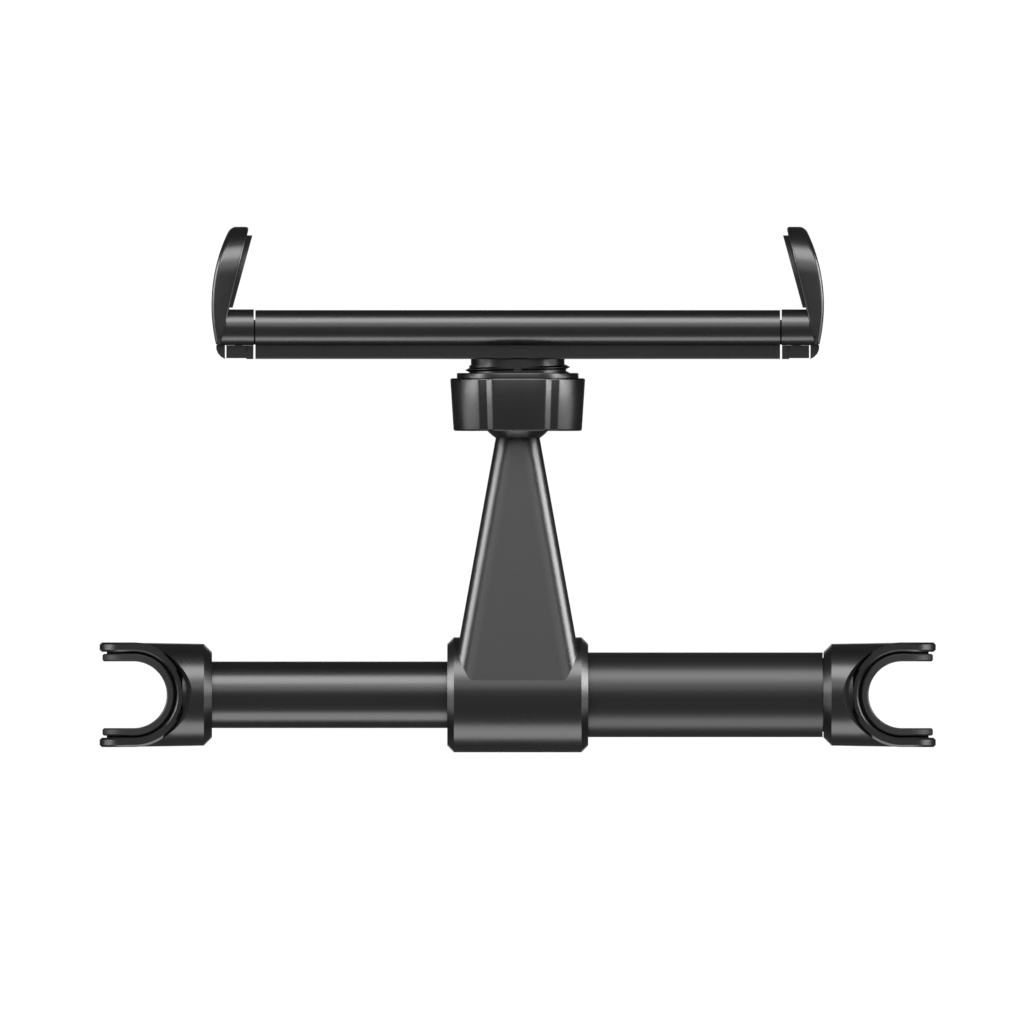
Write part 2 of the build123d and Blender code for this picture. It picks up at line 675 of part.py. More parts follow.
def back_cover():
    """Back plate of the cradle, with the socket's seat, screw holes and spring anchors."""
    body = flat_back((-BODY_HALF, BODY_HALF), (BACK_Y, SEAM_Y), COVER_TOP)
    body = chamfer(body.edges().filter_by(Axis.X).group_by(Axis.Y)[0], COVER_EDGE)
    body -= tile_y(FLANGE_W, FLANGE_H, FLANGE_CORNER, FLANGE_Y, SEAM_Y + CUT)
    body -= post_y(0, 0, BACK_Y - CUT, SEAM_Y, SPIGOT_OD / 2 + SEAT)
    head_r = SMALL_HEAD_OD / 2 + SLIDE
    for x in COVER_SCREW_XS + FLANGE_SCREW_XS:
        body -= post_y(x, 0, BACK_Y - CUT, SCREW_TIP_Y - SCREW_REACH, head_r)
        body -= post_y(x, 0, BACK_Y - CUT, SEAM_Y + CUT, SMALL_SCREW_OD / 2 + SLIDE)
    anchor = block(
        (SPRING_END, SPRING_END + ANCHOR_THICK),
        (SEAM_Y, RABBET_Y - SLIDE),
        (RABBET_Z + SLIDE, SLIDER_BACK - SLIDE),
    )
    anchor -= spring_hole(SPRING_END)
    return body + anchor + HALF_TURN * anchor


def spring_hole(x):
    """The hole that a spring's end sits in."""
    hole = rod_x(x - TANG - SEAT, x + TANG + SEAT, WIRE / 2 + SEAT)
    return Pos(0, SPRING_Y, SPRING_Z) * hole


def screws_y(places, back, shank_r, head_r, head_h, reach):
    """A set of like screws that enter from the back."""
    return [head_screw_y(x, z, back, shank_r, head_r, head_h, reach) for x, z in places]


def front_pad():
    """Rubber pad let into the front of the cradle."""
    return tile_y(PAD_W, PAD_H, PAD_CORNER, FRONT_Y - PAD_THICK, FRONT_Y)


def rack_outline(start, end, toothed_from, toothed_to):
    """The side of a toothed bar: a straight back, and rack teeth towards the pinion."""
    slope = math.tan(math.radians(PRESSURE_ANGLE))
    half_pitch_line = (PITCH / 2 - BACKLASH) / 2
    half_tip = half_pitch_line - RACK_ADDENDUM * slope
    half_root = half_pitch_line + (RACK_ROOT_Z - PITCH_R) * slope
    points = [(end, SLIDER_BACK), (start, SLIDER_BACK), (start, RACK_ROOT_Z)]
    first = math.ceil(toothed_from / PITCH - 0.5)
    last = math.floor(toothed_to / PITCH - 0.5)
    for n in range(first, last + 1):
        x = (n + 0.5) * PITCH
        points += [(x - half_root, RACK_ROOT_Z), (x - half_tip, RACK_TIP_Z),
                   (x + half_tip, RACK_TIP_Z), (x + half_root, RACK_ROOT_Z)]
    points.append((end, RACK_ROOT_Z))
    return make_face(Polyline(*points, close=True))


def slider():
    """Slider of the left jaw: a rack bar above the pinion, and a cross head in the jaw."""
    outline = rack_outline(-JAW_END, SLIDER_END, -PITCH * 2, JAW_TRAVEL + PITCH * 2)
    plane = Plane(origin=(0, SLIDER_HIGH_Y, 0), x_dir=(1, 0, 0), z_dir=(0, -1, 0))
    bar = extrude(plane * outline, SLIDER_HIGH_Y - SLIDER_LOW_Y)
    bar -= block(
        (SPRING_START, SLIDER_END + CUT),
        (SLIDER_LOW_Y - CUT, RABBET_Y),
        (RABBET_Z, SLIDER_BACK + CUT),
    )
    bar -= spring_hole(SPRING_START)
    head = block(
        (-HEAD_OUTER_X, -JAW_END),
        (SLIDER_LOW_Y, SLIDER_HIGH_Y),
        (-SLIDER_BACK, SLIDER_BACK),
    )
    for x, z in JAW_SCREW_PLACES:
        head -= post_y(x, z, SEAM_Y, LANE_Y, JAW_BOSS_OD / 2 + SEAT)
    return bar + head


def spring():
    """Return spring of the left jaw, drawn as close turns with a tang at each end."""
    start = SPRING_START + SEAT
    length = SPRING_END - SEAT - start
    pitch = length / SPRING_TURNS
    valley = SPRING_R - WIRE / 2
    points = [(start, 0)]
    for n in range(SPRING_TURNS):
        points += [(start + pitch * n, valley), (start + pitch * (n + 0.5), SPRING_R)]
    points += [(start + length, valley), (start + length, 0)]
    coil = turned(points, Axis.X)
    coil += rod_x(start - TANG, start + length + TANG, WIRE / 2)
    return Pos(0, SPRING_Y, SPRING_Z) * coil


def involute(radius, base):
    """The involute function at a radius."""
    angle = math.acos(base / radius)
    return math.tan(angle) - angle


def pinion():
    """Pinion between the two racks, with a tooth on +Z and one on -Z."""
    base = PITCH_R * math.cos(math.radians(PRESSURE_ANGLE))
    half_at_pitch = (PITCH / 2 - BACKLASH) / 2 / PITCH_R
    swell = half_at_pitch + involute(PITCH_R, base)

    def flank(radius, side):
        angle = math.pi / 2 + side * (swell - involute(max(radius, base), base))
        return (radius * math.cos(angle), radius * math.sin(angle))

    middle = (base + PINION_R) / 2
    hidden = PINION_ROOT_R / 2
    tooth = make_face([
        ThreePointArc(flank(base, 1), flank(middle, 1), flank(PINION_R, 1)),
        Line(flank(PINION_R, 1), flank(PINION_R, -1)),
        ThreePointArc(flank(PINION_R, -1), flank(middle, -1), flank(base, -1)),
        Polyline(flank(base, -1), flank(hidden, -1), flank(hidden, 1), flank(base, 1)),
    ])
    outline = Circle(PINION_ROOT_R) + PolarLocations(0, TEETH) * tooth
    outline -= Circle(AXLE_OD / 2 + RUN)
    plane = Plane(origin=(0, PINION_FRONT_Y, 0), x_dir=(1, 0, 0), z_dir=(0, -1, 0))
    return extrude(plane * outline, PINION_FRONT_Y - PINION_BACK_Y)


def pinion_pin():
    """Axle of the pinion, held in the socket and in the front shell."""
    start = SEAM_Y - AXLE_IN_SOCKET + SEAT
    return post_y(0, 0, start, LANE_Y + AXLE_IN_SHELL - SEAT, AXLE_OD / 2 - SEAT)


def face_x(y):
    """Where the left hook's inner face stands at a height above the bar."""
    return -HOOK_FACE_X + (y - HOOK_FACE_Y) * LEAN_SLOPE


def arc_x(y):
    """Where the left hook's outer arc stands at a height above the bar."""
    return -HOOK_ARC_X - math.sqrt(HOOK_ARC_R**2 - (y - HOOK_ARC_Y) ** 2)


def side_form(y_low, y_high, half_height, corner):
    """A plate seen from the side, with its two far corners rounded, through the hook."""
    plan = Pos((y_low + y_high) / 2, 0) * Rectangle(y_high - y_low, 2 * half_height)
    plan = fillet(plan.vertices().group_by(Axis.X)[-1], corner)
    return extrude(Plane.YZ.offset(-2 * BODY_HALF) * plan, 2 * BODY_HALF)


def hook_plate():
    """The left hook: a bowed outside, a leaning inner face, and rounded far corners."""
    top_in = (face_x(HOOK_TIP_Y), HOOK_TIP_Y)
    top_out = (arc_x(HOOK_TIP_Y), HOOK_TIP_Y)
    foot_out = (arc_x(SEAM_Y), SEAM_Y)
    foot_in = (face_x(SEAM_Y), SEAM_Y)
    bow = ThreePointArc(top_out, (arc_x(HOOK_ARC_Y), HOOK_ARC_Y), foot_out)
    sides = Polyline(foot_out, foot_in, top_in, top_out)
    plate = extrude(make_face([bow, sides]), BODY_TOP, both=True)
    plate &= side_form(SEAM_Y, HOOK_TIP_Y, BODY_TOP, HOOK_CORNER)
    plate = fillet(wall_edges(plate, GeomType.CYLINDER, HOOK_ARC_R), HOOK_OUTER_EDGE)
    return fillet(inner_edges(plate), HOOK_INNER_EDGE)


def wall_edges(plate, kind, radius):
    """The edges of the plate's bowed wall, without the one at the seam."""
    walls = [f for f in plate.faces().filter_by(kind) if abs(f.radius - radius) < 0.01]
    edges = ShapeList(e for wall in walls for e in wall.edges())
    return ShapeList(e for e in edges if e.bounding_box().max.Y > SEAM_Y + 0.01)


def inner_edges(plate):
    """The edges of the plate's leaning inner face, without the one at the seam."""
    middle_y = (SEAM_Y + HOOK_TIP_Y) / 2
    target = Vector(face_x(middle_y), middle_y, 0)
    face = plate.faces().sort_by(lambda f: (f.center() - target).length)[0]
    return ShapeList(e for e in face.edges() if e.bounding_box().max.Y > SEAM_Y + 0.01)


def heel():
    """The hook's foot behind the seam, as high as the flat back."""
    outer = (arc_x(SEAM_Y), SEAM_Y)
    bow = ThreePointArc(outer, (-HEEL_MID_X, SEAM_Y - 0.6 * COVER_THICK), (-HEEL_FACE_X, BACK_Y))
    sides = Polyline((-HEEL_FACE_X, BACK_Y), (-HEEL_FACE_X, SEAM_Y), outer)
    return extrude(make_face([bow, sides]), COVER_TOP, both=True)


def jaw():
    """Left jaw: hook, heel and the base that takes the slider's head."""
    inside_hook = (arc_x(SEAM_Y) + face_x(SEAM_Y)) / 2
    span = (inside_hook, -JAW_END)
    body = hook_plate() + heel()
    body += round_edged(span, (SEAM_Y, JAW_FRONT_Y))
    body += flat_back(span, (SEAM_Y, SEAM_Y + SHELL_DEPTH / 2), COVER_TOP)
    body -= block(
        (-HEAD_OUTER_X - SEAT, -JAW_END + CUT),
        (SEAM_Y - COVER_THICK, LANE_Y),
        (-LANE_HALF, LANE_HALF),
    )
    for x, z in JAW_SCREW_PLACES:
        body += post_y(x, z, SEAM_Y + SEAT, LANE_Y, JAW_BOSS_OD / 2)
        body -= post_y(x, z, SEAM_Y, CAP_SCREW_Y + JAW_HEAD_H + SCREW_REACH, JAW_SCREW_OD / 2)
    return body - jaw_pad()


def jaw_pad():
    """Rubber pad let into the left hook's inner face."""
    foot = face_x(HOOK_FACE_Y)
    tip = face_x(JAW_PAD_TIP_Y)
    plan = make_face(Polyline(
        (foot - JAW_PAD_SUNK, HOOK_FACE_Y), (foot + JAW_PAD_BOTTOM, HOOK_FACE_Y),
        (tip + JAW_PAD_TOP, JAW_PAD_TIP_Y), (tip - JAW_PAD_SUNK, JAW_PAD_TIP_Y),
        close=True,
    ))
    pad = extrude(plan, JAW_PAD_HALF_H, both=True)
    return pad & side_form(HOOK_FACE_Y, JAW_PAD_TIP_Y, JAW_PAD_HALF_H, JAW_PAD_CORNER)


def jaw_cap():
    """Back cap of the left jaw, with its raised end strip and the line beside it."""
    cap = flat_back((-CAP_OUTER_X, -CAP_STEP_X), (BACK_Y + CAP_STEP, SEAM_Y - SEAT), COVER_TOP)
    cap += flat_back((-CAP_STEP_X, -JAW_END), (BACK_Y, SEAM_Y - SEAT), COVER_TOP)
    cap -= block(
        (-CAP_STEP_X, -CAP_STEP_X + CAP_LINE),
        (SEAM_Y - CAP_LINE_DEPTH, SEAM_Y),
        (-COVER_TOP - CUT, COVER_TOP + CUT),
    )
    for x, z in JAW_SCREW_PLACES:
        cap -= post_y(x, z, BACK_Y - CUT, CAP_SCREW_Y + JAW_HEAD_H, JAW_HEAD_OD / 2 + SEAT)
        cap -= post_y(x, z, BACK_Y - CUT, SEAM_Y, JAW_SCREW_OD / 2 + SEAT)
    return cap


def jaw_screws():
    """The two screws of the left jaw."""
    shank_r = JAW_SCREW_OD / 2 - SEAT
    reach = SCREW_REACH - SEAT
    return screws_y(JAW_SCREW_PLACES, CAP_SCREW_Y, shank_r, JAW_HEAD_OD / 2, JAW_HEAD_H, reach)


def placed_left(solid):
    """Turns a fork's frame about and sets its collar face at the rod's end."""
    return Pos(LEFT_FACE, 0, 0) * FACE_ABOUT * solid


def placed_right(solid):
    """Sets a fork's collar face at the grip's end."""
    return Pos(RIGHT_FACE, 0, 0) * solid


def write(name, *solids):
    """Writes one node from one or more separate solids."""
    shape = solids[0] if len(solids) == 1 else Compound(children=list(solids))
    export_step(shape, os.path.join("parts", name + ".step"))


def main():
    os.makedirs("parts", exist_ok=True)
    collar_r = COLLAR_END_OD / 2
    shank_r = SMALL_SCREW_OD / 2 - SEAT
    head_r = SMALL_HEAD_OD / 2
    screw_back = BACK_Y + HEAD_SET_BACK
    reach = SCREW_REACH - SEAT
    cover_places = [(x, 0) for x in COVER_SCREW_XS]
    socket_places = [(x, 0) for x in FLANGE_SCREW_XS]

    write("hub_arm", hub_arm())
    write("core_tube", core_tube())
    write("rod_bush", rod_bush())
    write("lock_shoe", lock_shoe())
    write("fork_right", placed_right(fork(CORE_R)))
    write("fork_liner_right", placed_right(fork_liner()))
    write(
        "tube_screws",
        set_screw(HUB_SCREW_X, CORE_R, HUB_OD / 2),
        placed_right(set_screw(COLLAR_SCREW_X, CORE_R, collar_r)),
    )
    write("twist_grip", twist_grip())
    write("rod_tube", rod_tube())
    write("rod_plug", rod_plug())
    write("guide_pin", guide_pin())
    write("fork_left", placed_left(fork(ROD_R)))
    write("fork_liner_left", placed_left(fork_liner()))
    write("rod_screw", placed_left(set_screw(COLLAR_SCREW_X, ROD_R, collar_r)))
    write("ball_cup", ball_cup())
    write("clamp_ring", clamp_ring())
    write("clamp_nut", clamp_nut())
    write("ball_socket", ball_socket())
    write("front_shell", front_shell())
    write("back_cover", back_cover())
    write("front_pad", front_pad())
    write("cover_screws", *screws_y(cover_places, screw_back, shank_r, head_r, SMALL_HEAD_H, reach))
    write("socket_screws", *screws_y(socket_places, screw_back, shank_r, head_r, SMALL_HEAD_H, reach))
    write("pinion", pinion())
    write("pinion_pin", pinion_pin())
    pieces = {
        "jaw": [jaw()],
        "jaw_pad": [jaw_pad()],
        "jaw_cap": [jaw_cap()],
        "jaw_screws": jaw_screws(),
        "slider": [slider()],
        "spring": [spring()],
    }
    for name, solids in pieces.items():
        write(name + "_left", *solids)
        write(name + "_right", *[HALF_TURN * solid for solid in solids])


main()
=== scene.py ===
import math

import bmesh
import bpy
from bpy.props import FloatProperty, FloatVectorProperty
from mathutils import Matrix, Vector


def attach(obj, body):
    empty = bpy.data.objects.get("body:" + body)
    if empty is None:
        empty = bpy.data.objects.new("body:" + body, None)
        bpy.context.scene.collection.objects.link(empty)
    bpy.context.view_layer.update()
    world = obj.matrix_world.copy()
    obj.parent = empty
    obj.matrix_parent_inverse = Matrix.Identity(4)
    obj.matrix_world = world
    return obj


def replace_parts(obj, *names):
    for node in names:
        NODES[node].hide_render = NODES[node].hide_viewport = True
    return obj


bl_info = {
    "name": "Headrest Phone Holder",
    "version": (1, 0, 0),
    "blender": (4, 5, 0),
    "location": "3D View > Sidebar > Holder",
    "description": "Finishes the headrest phone holder and sets up its studio",
    "category": "Object",
}

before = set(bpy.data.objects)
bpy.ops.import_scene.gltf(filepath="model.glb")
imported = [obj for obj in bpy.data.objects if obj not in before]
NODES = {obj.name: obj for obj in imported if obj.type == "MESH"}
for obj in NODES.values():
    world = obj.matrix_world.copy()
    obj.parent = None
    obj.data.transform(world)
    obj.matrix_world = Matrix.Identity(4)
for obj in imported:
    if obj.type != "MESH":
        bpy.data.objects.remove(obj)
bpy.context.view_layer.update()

# Lengths are in metres.

# Name, azimuth from +Y towards +X, elevation, width and height in degrees, and radiance.
SOFT_BOXES = (
    ("key", 0, 38, 80, 30, 6.6),
    ("upper", 0, 66, 80, 26, 1.6),
    ("back", 180, 8, 80, 34, 3.4),
    ("low_back", 180, -40, 80, 50, 0.06),
    ("side_right", 72.5, 4, 30, 30, 11.5),
    ("side_left", -72.5, 4, 30, 30, 9.0),
    ("fill_right", 98, 0, 20, 40, 1.9),
    ("fill_left", -98, 0, 20, 40, 1.9),
)
LAMPS_AIM_AT = Vector((0, 0.04, 0))

# The floor, and how much of what the camera sees of it is plain white.
FLOOR_COLOUR = (0.86, 0.86, 0.86, 1)
FLOOR_ROUGHNESS = 0.9
FLOOR_WHITE = 0.9

# The surround turns from ground to sky between these heights of the direction of view.
HORIZON_LOW = -0.2
HORIZON_HIGH = 0.4

# The camera's range.
CLIP_NEAR = 0.05
CLIP_FAR = 20

# Finishes: plain plastic's index of refraction, how far a roughness varies, and how deep the
# lines of a drawn tube are.
PLASTIC_IOR = 1.45
GRAIN_SPREAD = 0.05
DRAWN_SPREAD = 0.1
DRAWN_DEPTH = 0.000002

# Points nearer than MERGE are one. The other two say how near to a rim's plane or to a wall a
# point belongs to it.
MERGE = 1e-7
ON_PLANE = 1e-6
ON_WALL = 1e-5

# Edges that turn by more degrees than this stay sharp.
SHARP = 32
RIDGE_SHARP = 20

# Into how many steps the shapes are divided.
BEVEL_SEGMENTS = 3
NUT_STEPS = 360
ROOT_STEPS = 120
SPIN_STEPS = 24
BASE_STEPS = 32
ROUND_STEPS = 5
SIDE_STEPS = 24
CORNER_STEPS = 18

# The nut and the thread, along Y from the ball's middle.
BALL = Vector((0, 0.061, 0))
NUT_FOOT = -0.005618
NUT_TOP = 0.005482
SHOULDER_TOP = 0.006582
SHOULDER_R = 0.0128
NUT_BORE_R = 0.01113
NUT_MOUTH_R = 0.0093
NUT_SEAT = NUT_FOOT + 0.0011
GROOVES = 6
GROOVE_HALF_WIDTH = 0.00157
NUT_TURN = math.radians(1.2)
ROOT_R = 0.01021
ROOT_WALL = 0.0006
CREST_R = 0.01105
THREAD_LOW = 0.0060
THREAD_HIGH = 0.008182
THREAD_MID = 0.0075
THREAD_QUARTERS = range(-3, 2)

# The thread's ridge, as radius and height.
RIDGE = (
    (ROOT_R - 0.0001, -0.0005), (ROOT_R - 0.0001, 0.0005), (CREST_R, 0.00004), (CREST_R, -0.00004),
)

# The fork's hollow over its band, as radius about the post axis and height.
POST_X = 0.0807
HOLLOW_HALF = math.radians(30)
HOLLOW = (
    (0.01028, 0.0063), (0.01055, 0.0063), (0.011, 0.00585), (0.01104, 0.0064), (0.01113, 0.0071),
    (0.01124, 0.0079),
)
HOLLOW_BACK = (
    (0.0115, 0.0079), (0.0115, 0.0072), (0.01117, 0.0071), (0.01117, 0.005), (0.01028, 0.005),
)

# The left jaw. Its hook stands between a leaning inner face and an outer arc.
SEAM_Y = 0.073382
BACK_Y = 0.070482
JAW_FRONT_Y = 0.080932
CROWN_Y = (SEAM_Y + JAW_FRONT_Y) / 2
BASE_R = (JAW_FRONT_Y - SEAM_Y) / 2
BODY_TOP = 0.014
BACK_TOP = 0.0103
JAW_END = 0.05542
HOOK_HALF = 0.014
BASE_IN_HOOK = 0.0004
HOOK_FOOT_Y = SEAM_Y + 0.0002
HOOK_TIP_Y = 0.098282
HOOK_FACE = (-0.06052, 0.081282)
HOOK_LEAN = 0.2434
HOOK_ARC = (-0.02832, 0.081782)
HOOK_ARC_R = 0.036
HOOK_ROOT = (-0.0607, 0.0777)
HOOK_ROOT_SLOPE = 0.49
HOOK_ROOT_RISE = 0.0022
HEEL = ((-0.06147, BACK_Y), (-0.06232, 0.070982), (-0.06292, 0.071642), (-0.06329, 0.072482))

# The fill of the left cap's slot: from and to along X and along Y, and half its height.
CAP_FILL = ((-0.05702, -0.05678), (0.072062, 0.073362), 0.0088)


class HolderFinish(bpy.types.PropertyGroup):
    """Colours and surface values of the holder."""

    moulding_colour: FloatVectorProperty(
        name="Moulding", description="Colour of the moulded plastic", subtype="COLOR",
        size=3, min=0, max=1, default=(0.004, 0.004, 0.0042),
    )
    rod_colour: FloatVectorProperty(
        name="Rod", description="Colour of the bright thin tube", subtype="COLOR",
        size=3, min=0, max=1, default=(0.004, 0.004, 0.0042),
    )
    grip_colour: FloatVectorProperty(
        name="Grip", description="Colour of the dull thick tube", subtype="COLOR",
        size=3, min=0, max=1, default=(0.005, 0.005, 0.0052),
    )
    rubber_colour: FloatVectorProperty(
        name="Rubber", description="Colour of the liners and pads", subtype="COLOR",
        size=3, min=0, max=1, default=(0.007, 0.007, 0.007),
    )
    bearing_colour: FloatVectorProperty(
        name="Bearings", description="Colour of the sliders, bushes and gear", subtype="COLOR",
        size=3, min=0, max=1, default=(0.008, 0.008, 0.0084),
    )
    steel_colour: FloatVectorProperty(
        name="Screws", description="Colour of the blackened screws and pins", subtype="COLOR",
        size=3, min=0, max=1, default=(0.12, 0.12, 0.125),
    )
    wire_colour: FloatVectorProperty(
        name="Springs", description="Colour of the spring wire", subtype="COLOR",
        size=3, min=0, max=1, default=(0.5, 0.5, 0.51),
    )
    grain_depth: FloatProperty(
        name="Grain depth", description="Height of the moulded grain", subtype="DISTANCE",
        unit="LENGTH", min=0, max=0.0002, default=0.000007,
    )


class HolderNut(bpy.types.PropertyGroup):
    """Sizes of the clamp nut and of the thread above it."""

    foot_radius: FloatProperty(
        name="Foot radius", description="Radius of the nut at its narrow end", subtype="DISTANCE",
        unit="LENGTH", min=0.01, max=0.02, default=0.01355,
    )
    top_radius: FloatProperty(
        name="Top radius", description="Radius of the nut at its wide end", subtype="DISTANCE",
        unit="LENGTH", min=0.01, max=0.02, default=0.01425,
    )
    groove_depth: FloatProperty(
        name="Groove depth", description="Depth of the shallow grooves", subtype="DISTANCE",
        unit="LENGTH", min=0, max=0.002, default=0.00045,
    )
    rim: FloatProperty(
        name="Rim", description="Rounding of the nut's two rims", subtype="DISTANCE",
        unit="LENGTH", min=0.0001, max=0.001, default=0.0004,
    )
    pitch: FloatProperty(
        name="Thread pitch", description="Rise of the thread in one turn", subtype="DISTANCE",
        unit="LENGTH", min=0.0003, max=0.003, default=0.0013,
    )
    slot: FloatProperty(
        name="Slot width", description="Gap in the thread at each slot between the claws",
        subtype="DISTANCE", unit="LENGTH", min=0.0005, max=0.004, default=0.002,
    )


class HolderHook(bpy.types.PropertyGroup):
    """Roundings of the jaws' hooks."""

    outer_edge: FloatProperty(
        name="Outer edge", description="Rounding of the bowed outer rim", subtype="DISTANCE",
        unit="LENGTH", min=0.0002, max=0.0015, default=0.0011,
    )
    inner_edge: FloatProperty(
        name="Inner edge", description="Rounding of the leaning inner rim", subtype="DISTANCE",
        unit="LENGTH", min=0.0002, max=0.0015, default=0.0007,
    )
    corner: FloatProperty(
        name="Far corner", description="Radius of the hook's far corners seen from the side",
        subtype="DISTANCE", unit="LENGTH", min=0.003, max=0.013, default=0.0097,
    )


class HolderStage(bpy.types.PropertyGroup):
    """Camera, lights and floor."""

    view_height: FloatProperty(
        name="View height", description="Camera height above the bar", subtype="DISTANCE",
        unit="LENGTH", min=0.2, max=5, default=1.0,
    )
    view_width: FloatProperty(
        name="View width", description="Width that the picture shows at the bar",
        subtype="DISTANCE", unit="LENGTH", min=0.01, max=1, default=0.21504,
    )
    view_centre: FloatVectorProperty(
        name="View centre", description="Point of the bar's plane in the middle of the picture",
        subtype="TRANSLATION", unit="LENGTH", size=2, default=(-0.0012, 0.03838),
    )
    floor_depth: FloatProperty(
        name="Floor depth", description="How far the floor lies under the bar",
        subtype="DISTANCE", unit="LENGTH", min=0.01, max=3, default=1.0,
    )
    floor_half: FloatProperty(
        name="Floor half", description="Half the side of the floor", subtype="DISTANCE",
        unit="LENGTH", min=0.1, max=5, default=0.25,
    )
    light_distance: FloatProperty(
        name="Light distance", description="How far the soft boxes stand from the holder",
        subtype="DISTANCE", unit="LENGTH", min=0.3, max=5, default=1.0,
    )
    sky: FloatProperty(
        name="Sky", description="Brightness of the surround above the horizon",
        min=0, max=3, default=0.28,
    )
    ground: FloatProperty(
        name="Ground", description="Brightness of the surround below the horizon",
        min=0, max=3, default=0.04,
    )


def node_group(name, inputs, outputs):
    """A new shader node group with named sockets, and its two end nodes."""
    group = bpy.data.node_groups.new(name, "ShaderNodeTree")
    for label, kind, default in inputs:
        socket = group.interface.new_socket(label, in_out="INPUT", socket_type=kind)
        socket.default_value = default
    for label, kind in outputs:
        group.interface.new_socket(label, in_out="OUTPUT", socket_type=kind)
    start = group.nodes.new("NodeGroupInput")
    end = group.nodes.new("NodeGroupOutput")
    return group, start, end


def math_node(group, operation, a, b, clamp=False):
    """A Math node whose two inputs are sockets or plain values."""
    node = group.nodes.new("ShaderNodeMath")
    node.operation = operation
    node.use_clamp = clamp
    for index, value in enumerate((a, b)):
        if isinstance(value, (int, float)):
            node.inputs[index].default_value = value
        else:
            group.links.new(value, node.inputs[index])
    return node.outputs[0]


def moulded_grain_group():
    """Fine moulded grain: a normal, a roughness that varies, and a slight mottling."""
    group, start, end = node_group(
        "moulded_grain",
        [("Scale", "NodeSocketFloat", 9000.0), ("Depth", "NodeSocketFloat", 0.00001),
         ("Roughness", "NodeSocketFloat", 0.35), ("Spread", "NodeSocketFloat", 0.08),
         ("Colour", "NodeSocketColor", (0.012, 0.012, 0.012, 1)),
         ("Mottle", "NodeSocketFloat", 0.15)],
        [("Colour", "NodeSocketColor"), ("Roughness", "NodeSocketFloat"),
         ("Normal", "NodeSocketVector")],
    )
    links = group.links
    place = group.nodes.new("ShaderNodeTexCoord")
    grain = group.nodes.new("ShaderNodeTexNoise")
    grain.inputs["Detail"].default_value = 3
    grain.inputs["Roughness"].default_value = 0.6
    links.new(place.outputs["Object"], grain.inputs["Vector"])
    links.new(start.outputs["Scale"], grain.inputs["Scale"])
    patch = group.nodes.new("ShaderNodeTexNoise")
    patch.inputs["Scale"].default_value = 90
    patch.inputs["Detail"].default_value = 4
    links.new(place.outputs["Object"], patch.inputs["Vector"])
    bump = group.nodes.new("ShaderNodeBump")
    links.new(start.outputs["Depth"], bump.inputs["Distance"])
    links.new(grain.outputs["Fac"], bump.inputs["Height"])
    swing = math_node(group, "SUBTRACT", patch.outputs["Fac"], 0.5)
    rough = math_node(group, "MULTIPLY", swing, start.outputs["Spread"])
    rough = math_node(group, "ADD", rough, start.outputs["Roughness"], clamp=True)
    tone = math_node(group, "MULTIPLY", swing, start.outputs["Mottle"])
    tone = math_node(group, "ADD", tone, 1.0)
    scale = group.nodes.new("ShaderNodeVectorMath")
    scale.operation = "SCALE"
    links.new(start.outputs["Colour"], scale.inputs[0])
    links.new(tone, scale.inputs["Scale"])
    links.new(scale.outputs[0], end.inputs["Colour"])
    links.new(rough, end.inputs["Roughness"])
    links.new(bump.outputs["Normal"], end.inputs["Normal"])


def drawn_lines_group():
    """Faint lengthwise lines of a drawn tube: a normal and a roughness that varies."""
    group, start, end = node_group(
        "drawn_lines",
        [("Along", "NodeSocketFloat", 12.0), ("Across", "NodeSocketFloat", 4200.0),
         ("Depth", "NodeSocketFloat", 0.000004), ("Roughness", "NodeSocketFloat", 0.3),
         ("Spread", "NodeSocketFloat", 0.1)],
        [("Roughness", "NodeSocketFloat"), ("Normal", "NodeSocketVector")],
    )
    links = group.links
    place = group.nodes.new("ShaderNodeTexCoord")
    stretch = group.nodes.new("ShaderNodeCombineXYZ")
    links.new(start.outputs["Along"], stretch.inputs["X"])
    links.new(start.outputs["Across"], stretch.inputs["Y"])
    links.new(start.outputs["Across"], stretch.inputs["Z"])
    scaled = group.nodes.new("ShaderNodeVectorMath")
    scaled.operation = "MULTIPLY"
    links.new(place.outputs["Object"], scaled.inputs[0])
    links.new(stretch.outputs[0], scaled.inputs[1])
    lines = group.nodes.new("ShaderNodeTexNoise")
    lines.inputs["Scale"].default_value = 1
    lines.inputs["Detail"].default_value = 2
    links.new(scaled.outputs[0], lines.inputs["Vector"])
    bump = group.nodes.new("ShaderNodeBump")
    links.new(start.outputs["Depth"], bump.inputs["Distance"])
    links.new(lines.outputs["Fac"], bump.inputs["Height"])
    swing = math_node(group, "SUBTRACT", lines.outputs["Fac"], 0.5)
    rough = math_node(group, "MULTIPLY", swing, start.outputs["Spread"])
    rough = math_node(group, "ADD", rough, start.outputs["Roughness"], clamp=True)
    links.new(rough, end.inputs["Roughness"])
    links.new(bump.outputs["Normal"], end.inputs["Normal"])


def group_in(tree, name, values):
    """Places a node group in a material with its own values."""
    node = tree.nodes.new("ShaderNodeGroup")
    node.node_tree = bpy.data.node_groups[name]
    for label, value in values.items():
        node.inputs[label].default_value = value
    return node


def new_material(name):
    """A new material with its node tree and its Principled shader."""
    material = bpy.data.materials.new(name)
    material.use_nodes = True
    return material, material.node_tree, material.node_tree.nodes["Principled BSDF"]


